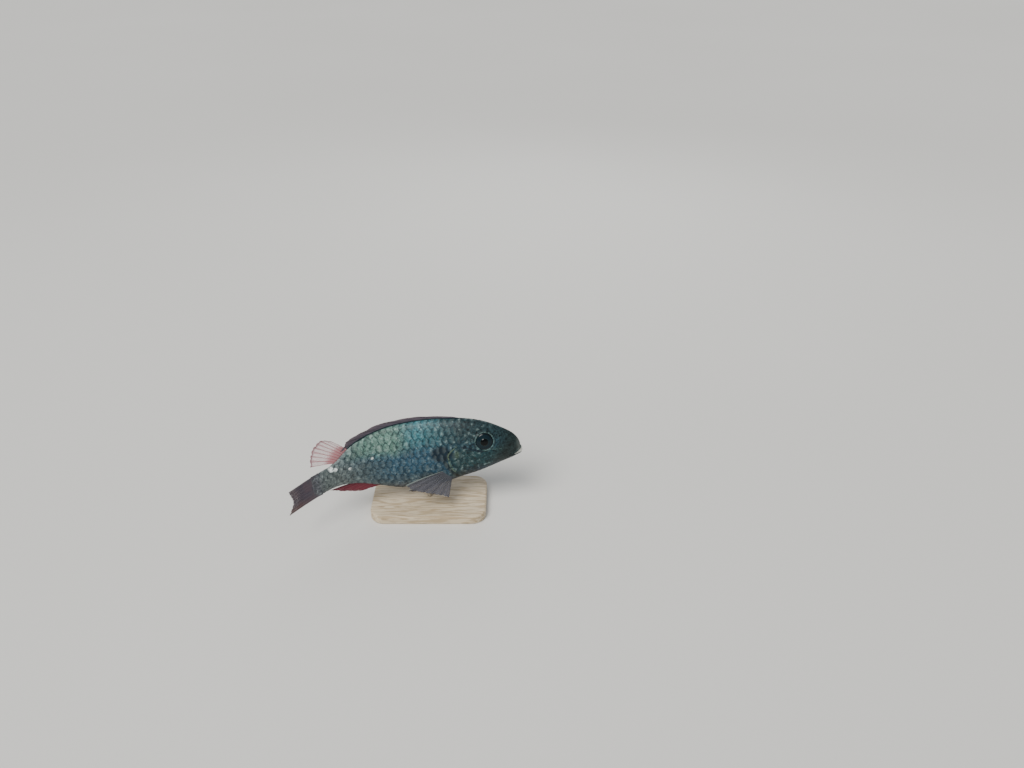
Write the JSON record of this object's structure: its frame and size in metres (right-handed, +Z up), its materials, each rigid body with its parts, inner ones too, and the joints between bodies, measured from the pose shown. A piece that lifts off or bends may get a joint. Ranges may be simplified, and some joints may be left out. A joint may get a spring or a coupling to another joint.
{
  "type": "parrotfish model",
  "caption": "Life-size still model of a parrotfish in its initial phase, tail swung to its right, held over a flat base by a short rod.",
  "frame": {"origin": "middle of the underside of the stand's base, under the rod", "axes": "+X towards the fish's head, +Y to its left side, +Z up; its right side, the one the picture shows, faces -Y"},
  "size_m": [0.1657, 0.0843, 0.0793],
  "materials": {
    "skin": "wet satin skin under large dark-edged scales, teal to olive and grey-brown",
    "eye": "clear gloss over a dark teal iris and black pupil",
    "beak": "smooth off-white tooth plate",
    "red_fin": "thin membrane with crimson rays",
    "dull_fin": "thin purplish brown membrane with darker rays",
    "pale_fin": "thin see-through grey-brown membrane with pale rays",
    "stand_base": "pale oiled ash",
    "stand_rod": "brushed"
  },
  "bodies": {
    "root": {"head": "skin", "torso": "skin", "tail": "skin", "eye_left": "eye", "eye_right": "eye", "beak_upper": "beak", "beak_lower": "beak", "dorsal_fin": "red_fin", "anal_fin": "red_fin", "caudal_fin": "dull_fin", "pectoral_fin_left": "pale_fin", "pectoral_fin_right": "pale_fin", "pelvic_fin_left": "pale_fin", "pelvic_fin_right": "pale_fin", "stand_base": "stand_base", "stand_rod": "stand_rod"}
  },
  "joints": []
}
